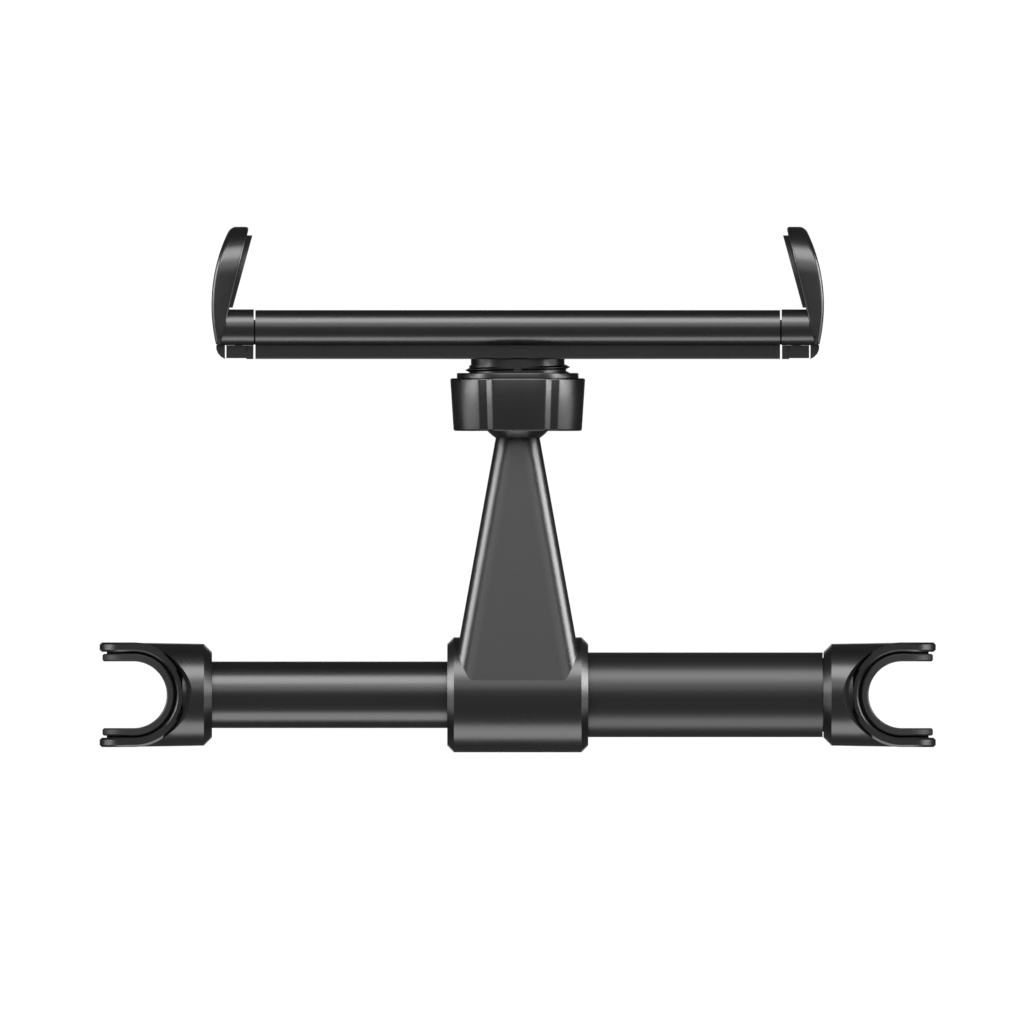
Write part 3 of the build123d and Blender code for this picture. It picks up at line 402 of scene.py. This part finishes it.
def moulded_material(name, colour, roughness, scale, depth, ior=PLASTIC_IOR, mottle=0.12):
    """A moulded plastic or rubber with its grain."""
    material, tree, shader = new_material(name)
    grain = group_in(tree, "moulded_grain", {
        "Scale": scale, "Depth": depth, "Roughness": roughness, "Spread": GRAIN_SPREAD,
        "Colour": (*colour, 1), "Mottle": mottle,
    })
    shader.inputs["IOR"].default_value = ior
    tree.links.new(grain.outputs["Colour"], shader.inputs["Base Color"])
    tree.links.new(grain.outputs["Roughness"], shader.inputs["Roughness"])
    tree.links.new(grain.outputs["Normal"], shader.inputs["Normal"])
    return material


def drawn_material(name, colour, roughness, metallic, depth=DRAWN_DEPTH, ior=PLASTIC_IOR):
    """A drawn tube, pin or wire with faint lengthwise lines, painted where it isn't metallic."""
    material, tree, shader = new_material(name)
    lines = group_in(tree, "drawn_lines", {
        "Depth": depth, "Roughness": roughness, "Spread": DRAWN_SPREAD,
    })
    shader.inputs["Base Color"].default_value = (*colour, 1)
    shader.inputs["Metallic"].default_value = metallic
    shader.inputs["IOR"].default_value = ior
    tree.links.new(lines.outputs["Roughness"], shader.inputs["Roughness"])
    tree.links.new(lines.outputs["Normal"], shader.inputs["Normal"])
    return material


def give(material, *nodes):
    """Puts a material on the slots of some solids."""
    for node in nodes:
        for slot in NODES[node].material_slots:
            slot.material = material


def both(*stems):
    """The left and right node of each stem."""
    return [f"{stem}_{side}" for stem in stems for side in ("left", "right")]


def finish_mesh(bm, name, body, sharp=SHARP):
    """Makes a bmesh a moulded piece that rides on a body, with its sharper edges kept sharp."""
    bmesh.ops.remove_doubles(bm, verts=bm.verts, dist=MERGE)
    bmesh.ops.recalc_face_normals(bm, faces=bm.faces)
    mesh = bpy.data.meshes.new(name)
    bm.to_mesh(mesh)
    bm.free()
    piece = bpy.data.objects.new(name, mesh)
    bpy.context.scene.collection.objects.link(piece)
    mesh.materials.append(bpy.data.materials["finish_moulding"])
    mesh.shade_smooth()
    mesh.set_sharp_from_angle(angle=math.radians(sharp))
    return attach(piece, body)


def bevel_edges(bm, chosen, offset):
    """Rounds the edges whose two ends are both chosen."""
    edges = [edge for edge in bm.edges if all(chosen(vert.co) for vert in edge.verts)]
    if not edges:
        raise RuntimeError("no edges to round")
    bmesh.ops.bevel(
        bm, geom=edges, offset=offset, segments=BEVEL_SEGMENTS, profile=0.5, affect="EDGES",
        material=-1, clamp_overlap=False,
    )


def outline_face(bm, points):
    """One face through a few points."""
    return bm.faces.new([bm.verts.new(point) for point in points])


def turned(bm, rings, count):
    """Rings about the Y axis in an empty bmesh, each a radius or a function of the angle, and a
    height along Y over the ball's middle."""
    verts = bmesh.ops.create_circle(bm, cap_ends=False, radius=1, segments=count)["verts"]
    quarter = Matrix.Rotation(math.pi / 2, 3, "X")
    bmesh.ops.rotate(bm, verts=verts, cent=(0, 0, 0), matrix=quarter)
    edges = bm.edges[:]
    for index, (radius, height) in enumerate(rings):
        if index:
            grown = bmesh.ops.extrude_edge_only(bm, edges=edges)["geom"]
            verts = [item for item in grown if isinstance(item, bmesh.types.BMVert)]
            edges = [item for item in grown if isinstance(item, bmesh.types.BMEdge)
                     and all(vert in verts for vert in item.verts)]
        for vert in verts:
            angle = math.atan2(vert.co.x, vert.co.z)
            reach = radius(angle) if callable(radius) else radius
            vert.co = Vector((reach * math.sin(angle), BALL.y + height, reach * math.cos(angle)))


def spun(bm, points, centre, axis, angle, rise=0.0):
    """Spins a closed outline through an angle, with its two ends closed."""
    face = outline_face(bm, points)
    geom = [face, *face.edges, *face.verts]
    bmesh.ops.spin(
        bm, geom=geom, cent=centre, axis=axis, dvec=Vector(axis) * (rise / SPIN_STEPS),
        angle=angle, steps=SPIN_STEPS, use_merge=False, use_duplicate=False,
    )


def hook_face_x(y):
    """Where the left hook's inner face stands, with its fillet into the base."""
    if y < HOOK_ROOT[1]:
        return HOOK_ROOT[0] + (y - HOOK_ROOT[1]) * HOOK_ROOT_SLOPE
    plain = HOOK_FACE[0] + (y - HOOK_FACE[1]) * HOOK_LEAN
    foot = HOOK_FACE[0] + (HOOK_ROOT[1] - HOOK_FACE[1]) * HOOK_LEAN
    share = max(0.0, 1 - (y - HOOK_ROOT[1]) / HOOK_ROOT_RISE)
    return plain + (HOOK_ROOT[0] - foot) * share**2


def hook_arc_x(y):
    """Where the left hook's outer bow stands."""
    return HOOK_ARC[0] - math.sqrt(HOOK_ARC_R**2 - (y - HOOK_ARC[1]) ** 2)


def strip(bm, count, place):
    """A strip of faces in an empty bmesh, two points wide, with each (side, share) put in place."""
    made = bmesh.ops.create_grid(bm, x_segments=1, y_segments=count, size=1)
    for vert in made["verts"]:
        vert.co = place(round(vert.co.x), (vert.co.y + 1) / 2)
    return bm.faces[:]


def thickened(bm, faces, move):
    """Extrudes a strip to the place that each of its points moves to."""
    grown = bmesh.ops.extrude_face_region(bm, geom=faces)["geom"]
    for item in grown:
        if isinstance(item, bmesh.types.BMVert):
            item.co = move(item.co)


class HOLDER_OT_finish(bpy.types.Operator):
    """Gives every solid its material"""

    bl_idname = "holder.finish"
    bl_label = "Finish the solids"

    def execute(self, context):
        looks = context.scene.holder_finish
        moulded_grain_group()
        drawn_lines_group()
        depth = looks.grain_depth
        moulding = moulded_material(
            "finish_moulding", looks.moulding_colour, roughness=0.28, scale=9000, depth=depth,
            ior=1.6,
        )
        rubber = moulded_material(
            "finish_rubber", looks.rubber_colour, roughness=0.5, scale=5000, depth=2 * depth,
            mottle=0.3,
        )
        bearing = moulded_material(
            "finish_bearing_plastic", looks.bearing_colour, roughness=0.42, scale=6000, depth=depth,
        )
        rod = drawn_material(
            "finish_bright_tube", looks.rod_colour, roughness=0.28, metallic=0.0, ior=1.6,
        )
        grip = drawn_material(
            "finish_dull_tube", looks.grip_colour, roughness=0.36, metallic=0.0, depth=0.000003,
            ior=1.5,
        )
        steel = drawn_material(
            "finish_blackened_steel", looks.steel_colour, roughness=0.32, metallic=1.0,
        )
        wire = drawn_material(
            "finish_spring_wire", looks.wire_colour, roughness=0.25, metallic=1.0,
        )
        give(moulding, "hub_arm", "clamp_nut", "ball_socket", "front_shell", "back_cover")
        give(moulding, *both("fork", "jaw", "jaw_cap"))
        give(rubber, "front_pad", *both("fork_liner", "jaw_pad"))
        give(bearing, "rod_bush", "lock_shoe", "rod_plug", "ball_cup", "clamp_ring", "pinion")
        give(bearing, *both("slider"))
        give(rod, "rod_tube")
        give(grip, "twist_grip", "core_tube")
        give(steel, "tube_screws", "rod_screw", "guide_pin", "cover_screws", "socket_screws")
        give(steel, "pinion_pin", *both("jaw_screws"))
        give(wire, *both("spring"))
        return {"FINISHED"}


class HOLDER_OT_nut(bpy.types.Operator):
    """Makes the clamp nut with its shallow grooves and its shoulder"""

    bl_idname = "holder.nut"
    bl_label = "Make the clamp nut"

    def execute(self, context):
        sizes = context.scene.holder_nut
        spacing = 2 * math.pi / GROOVES

        def lobed(radius):
            """A function that gives the wall's radius at an angle, less its nearest groove."""
            def at(angle):
                off = (angle - NUT_TURN + math.pi / 2 + spacing / 2) % spacing - spacing / 2
                depth = sizes.groove_depth * max(0.0, 1 - abs(off) * radius / GROOVE_HALF_WIDTH)
                return radius - depth
            return at

        bm = bmesh.new()
        foot, top = lobed(sizes.foot_radius), lobed(sizes.top_radius)
        turned(bm, [
            (foot, NUT_FOOT), (top, NUT_TOP), (SHOULDER_R, NUT_TOP), (SHOULDER_R, SHOULDER_TOP),
            (NUT_BORE_R, SHOULDER_TOP), (NUT_BORE_R, NUT_SEAT), (NUT_MOUTH_R, NUT_SEAT),
            (NUT_MOUTH_R, NUT_FOOT), (foot, NUT_FOOT),
        ], NUT_STEPS)
        bmesh.ops.remove_doubles(bm, verts=bm.verts, dist=MERGE)
        for height in (NUT_FOOT, NUT_TOP):
            bevel_edges(bm, lambda co, y=BALL.y + height: abs(co.y - y) < ON_PLANE
                        and math.hypot(co.x, co.z) > SHOULDER_R + ON_WALL, sizes.rim)
        bevel_edges(bm, lambda co: abs(co.y - BALL.y - SHOULDER_TOP) < ON_PLANE
                    and math.hypot(co.x, co.z) > SHOULDER_R - ON_WALL, sizes.rim / 2)
        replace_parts(finish_mesh(bm, "clamp_nut_finish", "nut"), "clamp_nut")
        return {"FINISHED"}


class HOLDER_OT_thread(bpy.types.Operator):
    """Makes the thread over the claws, broken at the slots"""

    bl_idname = "holder.thread"
    bl_label = "Make the thread"

    def execute(self, context):
        sizes = context.scene.holder_nut
        bm = bmesh.new()
        inner = ROOT_R - ROOT_WALL
        turned(bm, [
            (ROOT_R, THREAD_LOW), (ROOT_R, THREAD_HIGH), (inner, THREAD_HIGH), (inner, THREAD_LOW),
            (ROOT_R, THREAD_LOW),
        ], ROOT_STEPS)
        finish_mesh(bm, "thread_root", "cradle")
        bm = bmesh.new()
        half_gap = sizes.slot / 2 / CREST_R
        sweep = math.pi / 2 - 2 * half_gap
        rise = sizes.pitch * sweep / (2 * math.pi)
        for quarter in THREAD_QUARTERS:
            start = quarter * math.pi / 2 + half_gap
            height = BALL.y + THREAD_MID + sizes.pitch * start / (2 * math.pi)
            points = [
                (radius * math.sin(start), height + y, radius * math.cos(start))
                for radius, y in RIDGE
            ]
            spun(bm, points, (0, 0, 0), (0, 1, 0), sweep, rise)
        finish_mesh(bm, "thread_ridges", "cradle", sharp=RIDGE_SHARP)
        return {"FINISHED"}


class HOLDER_OT_roots(bpy.types.Operator):
    """Closes the floor of each fork's hollow over the tube's end"""

    bl_idname = "holder.roots"
    bl_label = "Close the fork roots"

    def execute(self, context):
        for name, body, side in (("left", "rod", -1), ("right", "bar", 1)):
            bm = bmesh.new()
            centre = Vector((side * POST_X, 0, 0))
            first = math.pi - HOLLOW_HALF if side > 0 else -HOLLOW_HALF
            for up in (1, -1):
                points = [
                    (centre.x + radius * math.cos(first), radius * math.sin(first), up * height)
                    for radius, height in (*HOLLOW, *HOLLOW_BACK)
                ]
                spun(bm, points, centre, (0, 0, 1), 2 * HOLLOW_HALF)
            finish_mesh(bm, f"fork_root_{name}", body)
        return {"FINISHED"}


class HOLDER_OT_jaws(bpy.types.Operator):
    """Makes the two jaws: half-round base, bowed hook and heel"""

    bl_idname = "holder.jaws"
    bl_label = "Make the jaws"

    def execute(self, context):
        sizes = context.scene.holder_hook
        for name, side in (("left", 1), ("right", -1)):
            bm = bmesh.new()
            self.base(bm)
            self.heel(bm)
            self.hook(bm, sizes)
            if side < 0:
                turn = Matrix.Rotation(math.pi, 3, "Y")
                bmesh.ops.rotate(bm, verts=bm.verts, cent=(0, 0, 0), matrix=turn)
            jaw = finish_mesh(bm, f"jaw_{name}_finish", f"{name}_jaw")
            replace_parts(jaw, f"jaw_{name}")
        return {"FINISHED"}

    def hook(self, bm, sizes):
        """The hook: a rounded rim from foot to foot, closed over the bow and the leaning face."""
        outer, inner = sizes.outer_edge, sizes.inner_edge
        turns = [math.pi / 2 * n / ROUND_STEPS for n in range(ROUND_STEPS + 1)]
        section = [
            (hook_arc_x, 1, outer * (1 - math.sin(a)), outer * (1 - math.cos(a)))
            for a in turns
        ]
        section += [
            (hook_face_x, -1, inner * (1 - math.sin(a)), inner * (1 - math.cos(a)))
            for a in reversed(turns)
        ]
        bend = HOOK_TIP_Y - sizes.corner
        path = [
            (HOOK_FOOT_Y + (bend - HOOK_FOOT_Y) * n / SIDE_STEPS, HOOK_HALF, 0.0, 1.0)
            for n in range(SIDE_STEPS)
        ]
        for n in range(CORNER_STEPS + 1):
            angle = math.pi / 2 * n / CORNER_STEPS
            up, out = math.sin(angle), math.cos(angle)
            path.append((bend + sizes.corner * up, HOOK_HALF - sizes.corner * (1 - out), up, out))
        path += [(y, -z, up, -out) for y, z, up, out in reversed(path)]
        across, along = len(section) - 1, len(path) - 1
        part = bmesh.new()
        made = bmesh.ops.create_grid(part, x_segments=across, y_segments=along, size=1)
        cells = {}
        for vert in made["verts"]:
            column = round((vert.co.x + 1) / 2 * across)
            row = round((vert.co.y + 1) / 2 * along)
            wall, inward, inset, off = section[column]
            y, z, up, out = path[row]
            y -= inset * up
            vert.co = (wall(y) + inward * off, y, z - inset * out)
            cells[vert] = (column, row)
        for end in (0, across):
            rim = [
                edge for edge in part.edges
                if all(cells[vert][0] == end for vert in edge.verts)
                and {cells[vert][1] for vert in edge.verts} != {along // 2, along // 2 + 1}
            ]
            bmesh.ops.bridge_loops(part, edges=rim)
        bmesh.ops.holes_fill(part, edges=[edge for edge in part.edges if edge.is_boundary], sides=0)
        if any(not edge.is_manifold for edge in part.edges):
            raise RuntimeError("the hook isn't closed")
        self.add(bm, part)

    def base(self, bm):
        """The half-round base that carries on the cradle's section into the hook."""
        def place(side, share):
            angle = math.pi * (share - 0.5)
            y = CROWN_Y + BASE_R * math.sin(angle)
            z = BODY_TOP - BASE_R + BASE_R * math.cos(angle)
            return Vector((-JAW_END, y, side * (z if y > CROWN_Y else max(z, BACK_TOP))))

        part = bmesh.new()
        faces = strip(part, BASE_STEPS, place)
        thickened(part, faces, lambda co: Vector((hook_face_x(co.y) - BASE_IN_HOOK, co.y, co.z)))
        self.add(bm, part)

    def heel(self, bm):
        """The hook's foot behind the seam."""
        part = bmesh.new()
        corners = [(hook_arc_x(SEAM_Y), SEAM_Y), (HEEL[0][0], SEAM_Y)]
        face = outline_face(part, [(x, y, -BACK_TOP) for x, y in (*HEEL, *corners)])
        grown = bmesh.ops.extrude_face_region(part, geom=[face])["geom"]
        verts = [item for item in grown if isinstance(item, bmesh.types.BMVert)]
        bmesh.ops.translate(part, verts=verts, vec=(0, 0, 2 * BACK_TOP))
        self.add(bm, part)

    def add(self, bm, part):
        """Adds a closed part to the jaw's mesh."""
        bmesh.ops.recalc_face_normals(part, faces=part.faces)
        mesh = bpy.data.meshes.new("part")
        part.to_mesh(mesh)
        part.free()
        bm.from_mesh(mesh)
        bpy.data.meshes.remove(mesh)


class HOLDER_OT_caps(bpy.types.Operator):
    """Fills the slot beside each cap's step, but for a line at its top and one at its bottom"""

    bl_idname = "holder.caps"
    bl_label = "Fill the cap lines"

    def execute(self, context):
        (x0, x1), (y0, y1), half = CAP_FILL
        for name, side in (("left", 1), ("right", -1)):
            bm = bmesh.new()
            bmesh.ops.create_cube(bm, size=1)
            bmesh.ops.scale(bm, verts=bm.verts, vec=(x1 - x0, y1 - y0, 2 * half))
            middle = (side * (x0 + x1) / 2, (y0 + y1) / 2, 0)
            bmesh.ops.translate(bm, verts=bm.verts, vec=middle)
            finish_mesh(bm, f"cap_line_{name}", f"{name}_jaw")
        return {"FINISHED"}


class HOLDER_OT_stage(bpy.types.Operator):
    """Sets up the floor, the lights and the camera"""

    bl_idname = "holder.stage"
    bl_label = "Set up the studio"

    def execute(self, context):
        stage = context.scene.holder_stage
        self.floor(stage)
        self.world(stage)
        for name, azimuth, elevation, width, height, radiance in SOFT_BOXES:
            self.soft_box(stage, name, azimuth, elevation, width, height, radiance)
        self.camera(stage)
        return {"FINISHED"}

    def floor(self, stage):
        """A plain pale floor that shows white and keeps a soft shadow."""
        bm = bmesh.new()
        bmesh.ops.create_grid(bm, x_segments=1, y_segments=1, size=stage.floor_half)
        middle = (*stage.view_centre, -stage.floor_depth)
        bmesh.ops.translate(bm, verts=bm.verts, vec=middle)
        mesh = bpy.data.meshes.new("floor")
        bm.to_mesh(mesh)
        bm.free()
        floor = bpy.data.objects.new("floor", mesh)
        bpy.context.scene.collection.objects.link(floor)
        material, tree, shader = new_material("pale_floor")
        shader.inputs["Base Color"].default_value = FLOOR_COLOUR
        shader.inputs["Roughness"].default_value = FLOOR_ROUGHNESS
        glow = tree.nodes.new("ShaderNodeEmission")
        mix = tree.nodes.new("ShaderNodeMixShader")
        share = math_node(tree, "MULTIPLY", self.seen(tree), FLOOR_WHITE)
        tree.links.new(share, mix.inputs[0])
        tree.links.new(shader.outputs[0], mix.inputs[1])
        tree.links.new(glow.outputs[0], mix.inputs[2])
        tree.links.new(mix.outputs[0], tree.nodes["Material Output"].inputs["Surface"])
        mesh.materials.append(material)

    def seen(self, tree):
        """1 for camera, glossy and transmission rays."""
        path = tree.nodes.new("ShaderNodeLightPath")
        total = math_node(tree, "ADD", path.outputs["Is Camera Ray"], path.outputs["Is Glossy Ray"])
        return math_node(tree, "ADD", total, path.outputs["Is Transmission Ray"], clamp=True)

    def world(self, stage):
        """A dim neutral surround, darker under the horizon."""
        world = bpy.data.worlds.new("studio")
        world.use_nodes = True
        bpy.context.scene.world = world
        tree = world.node_tree
        place = tree.nodes.new("ShaderNodeTexCoord")
        split = tree.nodes.new("ShaderNodeSeparateXYZ")
        tree.links.new(place.outputs["Generated"], split.inputs[0])
        level = tree.nodes.new("ShaderNodeMapRange")
        level.interpolation_type = "SMOOTHSTEP"
        level.inputs["From Min"].default_value = HORIZON_LOW
        level.inputs["From Max"].default_value = HORIZON_HIGH
        level.inputs["To Min"].default_value = stage.ground
        level.inputs["To Max"].default_value = stage.sky
        tree.links.new(split.outputs["Z"], level.inputs["Value"])
        tree.links.new(level.outputs[0], tree.nodes["Background"].inputs["Strength"])
        tree.nodes["Background"].inputs["Color"].default_value = (1, 1, 1, 1)

    def soft_box(self, stage, name, azimuth, elevation, width, height, radiance):
        """A soft box in a direction, as wide and high as some angles, that faces the holder."""
        across = math.radians(azimuth)
        up = math.radians(elevation)
        aim = Vector(
            (math.sin(across) * math.cos(up), math.cos(across) * math.cos(up), math.sin(up))
        )
        data = bpy.data.lights.new(name, "AREA")
        data.shape = "RECTANGLE"
        data.size = 2 * stage.light_distance * math.tan(math.radians(width / 2))
        data.size_y = 2 * stage.light_distance * math.tan(math.radians(height / 2))
        data.energy = radiance * math.pi * data.size * data.size_y
        lamp = bpy.data.objects.new(name, data)
        bpy.context.scene.collection.objects.link(lamp)
        turn = (-aim).to_track_quat("-Z", "Y").to_matrix().to_4x4()
        lamp.matrix_world = Matrix.Translation(LAMPS_AIM_AT + stage.light_distance * aim) @ turn

    def camera(self, stage):
        """A parallel view from straight above, as in the photograph."""
        data = bpy.data.cameras.new("camera")
        data.type = "ORTHO"
        data.ortho_scale = stage.view_width
        data.clip_start = CLIP_NEAR
        data.clip_end = CLIP_FAR
        camera = bpy.data.objects.new("camera", data)
        camera.location = (*stage.view_centre, stage.view_height)
        bpy.context.scene.collection.objects.link(camera)
        bpy.context.scene.camera = camera


class HOLDER_PT_panel(bpy.types.Panel):
    """Lists the holder's steps and values"""

    bl_label = "Headrest Phone Holder"
    bl_idname = "HOLDER_PT_panel"
    bl_space_type = "VIEW_3D"
    bl_region_type = "UI"
    bl_category = "Holder"

    def draw(self, context):
        layout = self.layout
        for step in STEPS:
            layout.operator(step.bl_idname)
        for values in ("holder_finish", "holder_nut", "holder_hook", "holder_stage"):
            group = getattr(context.scene, values)
            column = layout.column(align=True)
            for label in group.__annotations__:
                column.prop(group, label)


STEPS = (
    HOLDER_OT_finish, HOLDER_OT_nut, HOLDER_OT_thread, HOLDER_OT_roots, HOLDER_OT_jaws,
    HOLDER_OT_caps, HOLDER_OT_stage,
)
CLASSES = (HolderFinish, HolderNut, HolderHook, HolderStage, *STEPS, HOLDER_PT_panel)


def register():
    """Registers the classes and hangs their values on the scene."""
    for cls in CLASSES:
        bpy.utils.register_class(cls)
    bpy.types.Scene.holder_finish = bpy.props.PointerProperty(type=HolderFinish)
    bpy.types.Scene.holder_nut = bpy.props.PointerProperty(type=HolderNut)
    bpy.types.Scene.holder_hook = bpy.props.PointerProperty(type=HolderHook)
    bpy.types.Scene.holder_stage = bpy.props.PointerProperty(type=HolderStage)


def unregister():
    """Takes the values and the classes away again."""
    del bpy.types.Scene.holder_stage
    del bpy.types.Scene.holder_hook
    del bpy.types.Scene.holder_nut
    del bpy.types.Scene.holder_finish
    for cls in reversed(CLASSES):
        bpy.utils.unregister_class(cls)


def main():
    """Runs the steps in order."""
    register()
    bpy.context.scene.view_settings.view_transform = "Standard"
    for step in STEPS:
        group, name = step.bl_idname.split(".")
        getattr(getattr(bpy.ops, group), name)()


if __name__ == "__main__":
    main()
